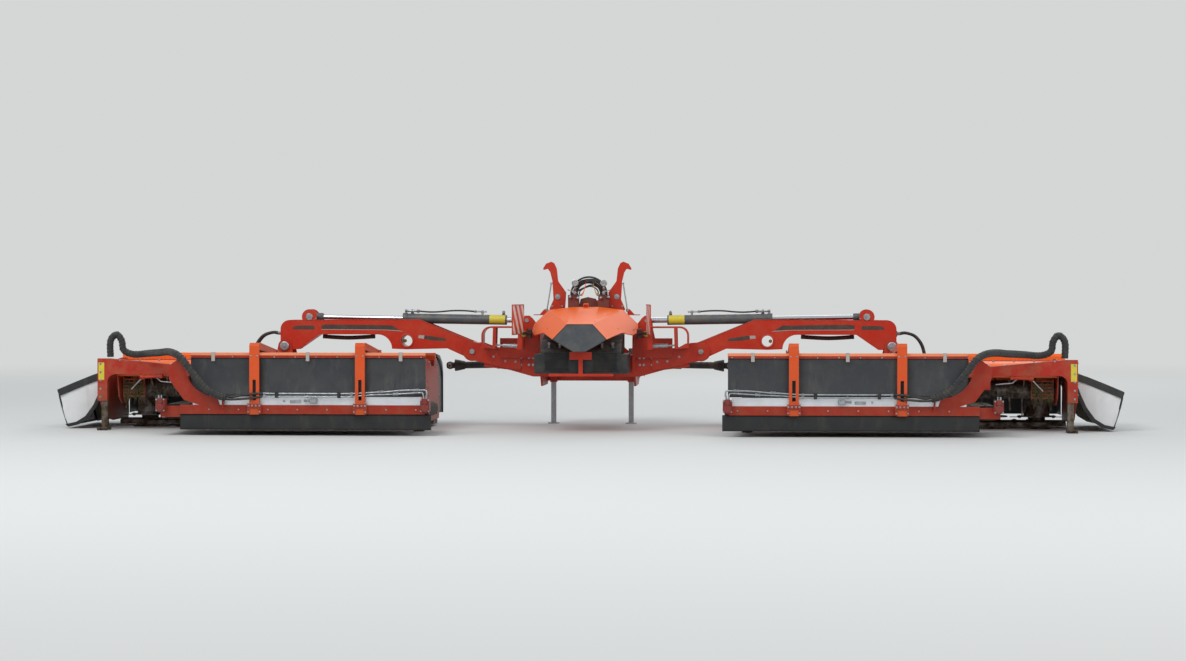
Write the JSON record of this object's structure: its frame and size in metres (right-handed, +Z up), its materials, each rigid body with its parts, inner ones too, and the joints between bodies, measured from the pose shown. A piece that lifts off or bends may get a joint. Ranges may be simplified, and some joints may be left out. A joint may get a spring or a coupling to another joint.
{
  "type": "rear-mounted butterfly disc mower conditioner with swath belts",
  "caption": "Rear-mounted butterfly mower conditioner: folding arms, cutter beds with tined rotors, swath belts, guards and a hitched headstock.",
  "frame": {"origin": "on the ground below the middle of the bounding box", "axes": "+X to the machine's right, +Y the way it travels, +Z up"},
  "size_m": [10.3, 2.8578, 1.626],
  "materials": {
    "red_paint": "semi-gloss red paint, dusty",
    "pin_steel": "turned steel",
    "gearbox_casting": "painted casting",
    "orange_hood": "moulded orange cover",
    "dark_plastic": "dark grey moulding",
    "dark_paint": "dark grey paint",
    "plated_steel": "zinc plated",
    "hose_rubber": "sleeved hydraulic hose",
    "board_paint": "striped reflective sheet",
    "chrome_rod": "hard chrome",
    "guard_plastic": "moulded guard",
    "worn_steel": "worn and rusty steel",
    "canvas": "coated white canvas",
    "belt_rubber": "ribbed belt",
    "bright_rail": "bright rail and pipes",
    "curtain_rubber": "dark grey curtain",
    "disc_steel": "polished by the crop"
  },
  "bodies": {
    "headstock": {"headstock_frame": "red_paint", "frame_pins": "pin_steel", "center_gearbox": "gearbox_casting", "center_hood": "orange_hood", "hood_skirt": "dark_plastic", "power_pack": "dark_paint", "transport_hooks": "red_paint", "hydraulic_controls": "plated_steel", "headstock_hoses": "hose_rubber", "warning_boards": "board_paint"},
    "left_parking_stand": {"left_parking_stand": "plated_steel"},
    "left_arm": {"left_arm": "red_paint", "left_arm_hoses": "hose_rubber"},
    "left_lift_cylinder": {"left_lift_cylinder": "dark_paint"},
    "left_lift_rod": {"left_lift_rod": "chrome_rod"},
    "left_drive_shaft": {"left_drive_shaft": "guard_plastic"},
    "left_mower": {"left_mower_frame": "red_paint", "left_mower_hood": "red_paint", "left_cutterbar": "worn_steel"},
    "left_rotor": {"left_conditioner_rotor": "worn_steel"},
    "left_disc_1": {"left_disc_1": "disc_steel"},
    "left_disc_2": {"left_disc_2": "disc_steel"},
    "left_disc_3": {"left_disc_3": "disc_steel"},
    "left_disc_4": {"left_disc_4": "disc_steel"},
    "left_disc_5": {"left_disc_5": "disc_steel"},
    "left_disc_6": {"left_disc_6": "disc_steel"},
    "left_disc_7": {"left_disc_7": "disc_steel"},
    "left_front_guard": {"left_front_guard": "guard_plastic"},
    "left_side_guard": {"left_side_guard": "canvas"},
    "left_belt_unit": {"left_carrying_arms": "red_paint", "left_belt_frame": "red_paint", "left_belt_loop": "belt_rubber", "left_belt_rail": "bright_rail", "left_belt_curtains": "curtain_rubber", "left_belt_hoses": "hose_rubber"},
    "right_parking_stand": {"right_parking_stand": "plated_steel"},
    "right_arm": {"right_arm": "red_paint", "right_arm_hoses": "hose_rubber"},
    "right_lift_cylinder": {"right_lift_cylinder": "dark_paint"},
    "right_lift_rod": {"right_lift_rod": "chrome_rod"},
    "right_drive_shaft": {"right_drive_shaft": "guard_plastic"},
    "right_mower": {"right_mower_frame": "red_paint", "right_mower_hood": "red_paint", "right_cutterbar": "worn_steel"},
    "right_rotor": {"right_conditioner_rotor": "worn_steel"},
    "right_disc_1": {"right_disc_1": "disc_steel"},
    "right_disc_2": {"right_disc_2": "disc_steel"},
    "right_disc_3": {"right_disc_3": "disc_steel"},
    "right_disc_4": {"right_disc_4": "disc_steel"},
    "right_disc_5": {"right_disc_5": "disc_steel"},
    "right_disc_6": {"right_disc_6": "disc_steel"},
    "right_disc_7": {"right_disc_7": "disc_steel"},
    "right_front_guard": {"right_front_guard": "guard_plastic"},
    "right_side_guard": {"right_side_guard": "canvas"},
    "right_belt_unit": {"right_carrying_arms": "red_paint", "right_belt_frame": "red_paint", "right_belt_loop": "belt_rubber", "right_belt_rail": "bright_rail", "right_belt_curtains": "curtain_rubber", "right_belt_hoses": "hose_rubber"}
  },
  "joints": [
    {"name": "left_fold", "type": "hinge", "parent": "headstock", "child": "left_arm", "pos_m": [-1.115, 0.276, 0.75], "axis": [0, 1, 0], "range_deg": [-6, 85]},
    {"name": "left_cylinder_tilt", "type": "hinge", "parent": "headstock", "child": "left_lift_cylinder", "pos_m": [-0.586, 0.276, 1.052], "axis": [0, 1, 0], "range_deg": [-6, 76]},
    {"name": "left_rod_slide", "type": "slide", "parent": "left_lift_cylinder", "child": "left_lift_rod", "axis": [-0.9999, 0, 0.0159], "range_m": [-0.775, 0.06]},
    {"name": "left_shaft_tilt", "type": "hinge", "parent": "headstock", "child": "left_drive_shaft", "pos_m": [-0.34, 0.626, 0.62], "axis": [0, 1, 0], "range_deg": [-3, 28]},
    {"name": "left_swing", "type": "hinge", "parent": "left_arm", "child": "left_mower", "pos_m": [-2.96, 0.276, 0.8], "axis": [0, 1, 0], "range_deg": [-6, 6]},
    {"name": "left_belt_lift", "type": "hinge", "parent": "left_mower", "child": "left_belt_unit", "pos_m": [-2.5, -0.404, 0.748], "axis": [-1, 0, 0], "range_deg": [0, 60]},
    {"name": "left_front_guard_lift", "type": "hinge", "parent": "left_mower", "child": "left_front_guard", "pos_m": [-3, 0.636, 0.7], "axis": [1, 0, 0], "range_deg": [0, 75]},
    {"name": "left_side_guard_lift", "type": "hinge", "parent": "left_mower", "child": "left_side_guard", "pos_m": [-4.706, 0.576, 0.548], "axis": [0, 1, 0], "range_deg": [0, 100]},
    {"name": "left_disc_1_spin", "type": "hinge", "parent": "left_mower", "child": "left_disc_1", "pos_m": [-1.798, 0.576, 0.11], "axis": [0, 0, 1], "continuous": true},
    {"name": "left_disc_2_spin", "type": "hinge", "parent": "left_mower", "child": "left_disc_2", "pos_m": [-2.23, 0.576, 0.11], "axis": [0, 0, 1], "continuous": true},
    {"name": "left_disc_3_spin", "type": "hinge", "parent": "left_mower", "child": "left_disc_3", "pos_m": [-2.662, 0.576, 0.11], "axis": [0, 0, 1], "continuous": true},
    {"name": "left_disc_4_spin", "type": "hinge", "parent": "left_mower", "child": "left_disc_4", "pos_m": [-3.094, 0.576, 0.11], "axis": [0, 0, 1], "continuous": true},
    {"name": "left_disc_5_spin", "type": "hinge", "parent": "left_mower", "child": "left_disc_5", "pos_m": [-3.526, 0.576, 0.11], "axis": [0, 0, 1], "continuous": true},
    {"name": "left_disc_6_spin", "type": "hinge", "parent": "left_mower", "child": "left_disc_6", "pos_m": [-3.958, 0.576, 0.11], "axis": [0, 0, 1], "continuous": true},
    {"name": "left_disc_7_spin", "type": "hinge", "parent": "left_mower", "child": "left_disc_7", "pos_m": [-4.39, 0.576, 0.11], "axis": [0, 0, 1], "continuous": true},
    {"name": "left_rotor_spin", "type": "hinge", "parent": "left_mower", "child": "left_rotor", "pos_m": [-3, -0.084, 0.4], "axis": [1, 0, 0], "continuous": true},
    {"name": "left_stand_slide", "type": "slide", "parent": "headstock", "child": "left_parking_stand", "axis": [0, 0, 1], "range_m": [0, 0.38]},
    {"name": "right_fold", "type": "hinge", "parent": "headstock", "child": "right_arm", "pos_m": [1.115, 0.276, 0.75], "axis": [0, -1, 0], "range_deg": [-6, 85]},
    {"name": "right_cylinder_tilt", "type": "hinge", "parent": "headstock", "child": "right_lift_cylinder", "pos_m": [0.586, 0.276, 1.052], "axis": [0, -1, 0], "range_deg": [-6, 76]},
    {"name": "right_rod_slide", "type": "slide", "parent": "right_lift_cylinder", "child": "right_lift_rod", "axis": [0.9999, 0, 0.0159], "range_m": [-0.775, 0.06]},
    {"name": "right_shaft_tilt", "type": "hinge", "parent": "headstock", "child": "right_drive_shaft", "pos_m": [0.34, 0.626, 0.62], "axis": [0, -1, 0], "range_deg": [-3, 28]},
    {"name": "right_swing", "type": "hinge", "parent": "right_arm", "child": "right_mower", "pos_m": [2.96, 0.276, 0.8], "axis": [0, -1, 0], "range_deg": [-6, 6]},
    {"name": "right_belt_lift", "type": "hinge", "parent": "right_mower", "child": "right_belt_unit", "pos_m": [2.5, -0.404, 0.748], "axis": [-1, 0, 0], "range_deg": [0, 60]},
    {"name": "right_front_guard_lift", "type": "hinge", "parent": "right_mower", "child": "right_front_guard", "pos_m": [3, 0.636, 0.7], "axis": [1, 0, 0], "range_deg": [0, 75]},
    {"name": "right_side_guard_lift", "type": "hinge", "parent": "right_mower", "child": "right_side_guard", "pos_m": [4.706, 0.576, 0.548], "axis": [0, -1, 0], "range_deg": [0, 100]},
    {"name": "right_disc_1_spin", "type": "hinge", "parent": "right_mower", "child": "right_disc_1", "pos_m": [1.798, 0.576, 0.11], "axis": [0, 0, 1], "continuous": true},
    {"name": "right_disc_2_spin", "type": "hinge", "parent": "right_mower", "child": "right_disc_2", "pos_m": [2.23, 0.576, 0.11], "axis": [0, 0, 1], "continuous": true},
    {"name": "right_disc_3_spin", "type": "hinge", "parent": "right_mower", "child": "right_disc_3", "pos_m": [2.662, 0.576, 0.11], "axis": [0, 0, 1], "continuous": true},
    {"name": "right_disc_4_spin", "type": "hinge", "parent": "right_mower", "child": "right_disc_4", "pos_m": [3.094, 0.576, 0.11], "axis": [0, 0, 1], "continuous": true},
    {"name": "right_disc_5_spin", "type": "hinge", "parent": "right_mower", "child": "right_disc_5", "pos_m": [3.526, 0.576, 0.11], "axis": [0, 0, 1], "continuous": true},
    {"name": "right_disc_6_spin", "type": "hinge", "parent": "right_mower", "child": "right_disc_6", "pos_m": [3.958, 0.576, 0.11], "axis": [0, 0, 1], "continuous": true},
    {"name": "right_disc_7_spin", "type": "hinge", "parent": "right_mower", "child": "right_disc_7", "pos_m": [4.39, 0.576, 0.11], "axis": [0, 0, 1], "continuous": true},
    {"name": "right_rotor_spin", "type": "hinge", "parent": "right_mower", "child": "right_rotor", "pos_m": [3, -0.084, 0.4], "axis": [1, 0, 0], "continuous": true},
    {"name": "right_stand_slide", "type": "slide", "parent": "headstock", "child": "right_parking_stand", "axis": [0, 0, 1], "range_m": [0, 0.38]}
  ],
  "couplings": [
    {"joint": "left_disc_2_spin", "follows": "left_disc_1_spin", "ratio": -1},
    {"joint": "left_disc_3_spin", "follows": "left_disc_1_spin", "ratio": 1},
    {"joint": "left_disc_4_spin", "follows": "left_disc_1_spin", "ratio": -1},
    {"joint": "left_disc_5_spin", "follows": "left_disc_1_spin", "ratio": 1},
    {"joint": "left_disc_6_spin", "follows": "left_disc_1_spin", "ratio": -1},
    {"joint": "left_disc_7_spin", "follows": "left_disc_1_spin", "ratio": 1},
    {"joint": "left_rotor_spin", "follows": "left_disc_1_spin", "ratio": 0.3},
    {"joint": "left_cylinder_tilt", "follows": "left_fold", "ratio": 0.8817},
    {"joint": "left_rod_slide", "follows": "left_fold", "m_per_rad": -0.51677},
    {"joint": "left_shaft_tilt", "follows": "left_fold", "ratio": 0.30214},
    {"joint": "right_disc_2_spin", "follows": "right_disc_1_spin", "ratio": -1},
    {"joint": "right_disc_3_spin", "follows": "right_disc_1_spin", "ratio": 1},
    {"joint": "right_disc_4_spin", "follows": "right_disc_1_spin", "ratio": -1},
    {"joint": "right_disc_5_spin", "follows": "right_disc_1_spin", "ratio": 1},
    {"joint": "right_disc_6_spin", "follows": "right_disc_1_spin", "ratio": -1},
    {"joint": "right_disc_7_spin", "follows": "right_disc_1_spin", "ratio": 1},
    {"joint": "right_rotor_spin", "follows": "right_disc_1_spin", "ratio": 0.3},
    {"joint": "right_cylinder_tilt", "follows": "right_fold", "ratio": 0.8817},
    {"joint": "right_rod_slide", "follows": "right_fold", "m_per_rad": -0.51677},
    {"joint": "right_shaft_tilt", "follows": "right_fold", "ratio": 0.30214}
  ]
}
